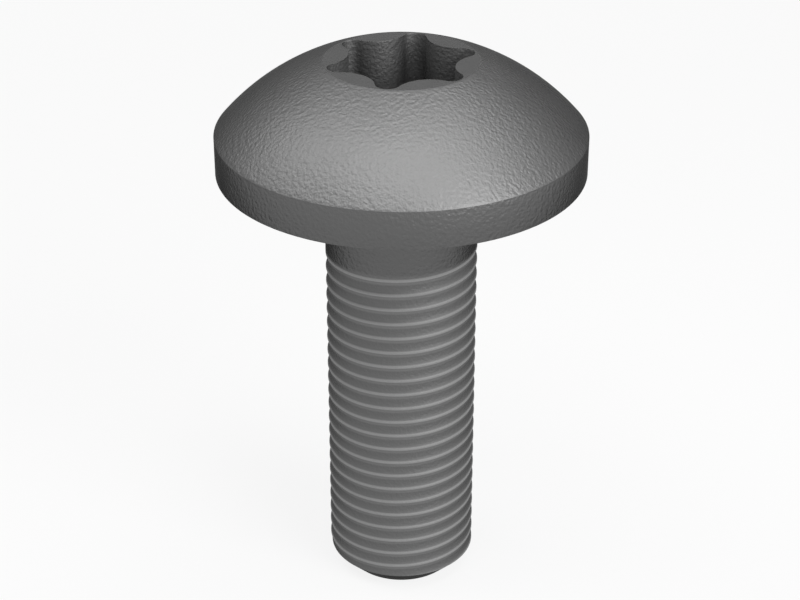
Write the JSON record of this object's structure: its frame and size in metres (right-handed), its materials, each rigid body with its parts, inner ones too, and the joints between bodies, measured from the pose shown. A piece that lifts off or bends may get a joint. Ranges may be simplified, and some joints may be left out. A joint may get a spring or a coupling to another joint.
{
  "type": "truss head screw",
  "caption": "Steel machine screw with a wide low domed truss head, a six-lobe drive recess, a plain neck and a fine right-hand thread down to a chamfered flat tip.",
  "frame": {"origin": "centre of the flat end face of the tip, on which the screw stands", "axes": "+Z along the screw's axis from the tip to the head; +X to the right and +Y away from the viewer as the picture shows it; the recess's first lobe lies 18 degrees from +X towards +Y"},
  "size_m": [0.0144, 0.0144, 0.0225],
  "materials": {
    "steel": "dull dark grey steel, neutral in colour, with a fine wrinkled grain on the dome that is fainter on the rim, neck and recess walls, smooth on the flat top, slightly brighter along the thread's crests"
  },
  "bodies": {
    "root": {"screw": "steel"}
  },
  "joints": []
}
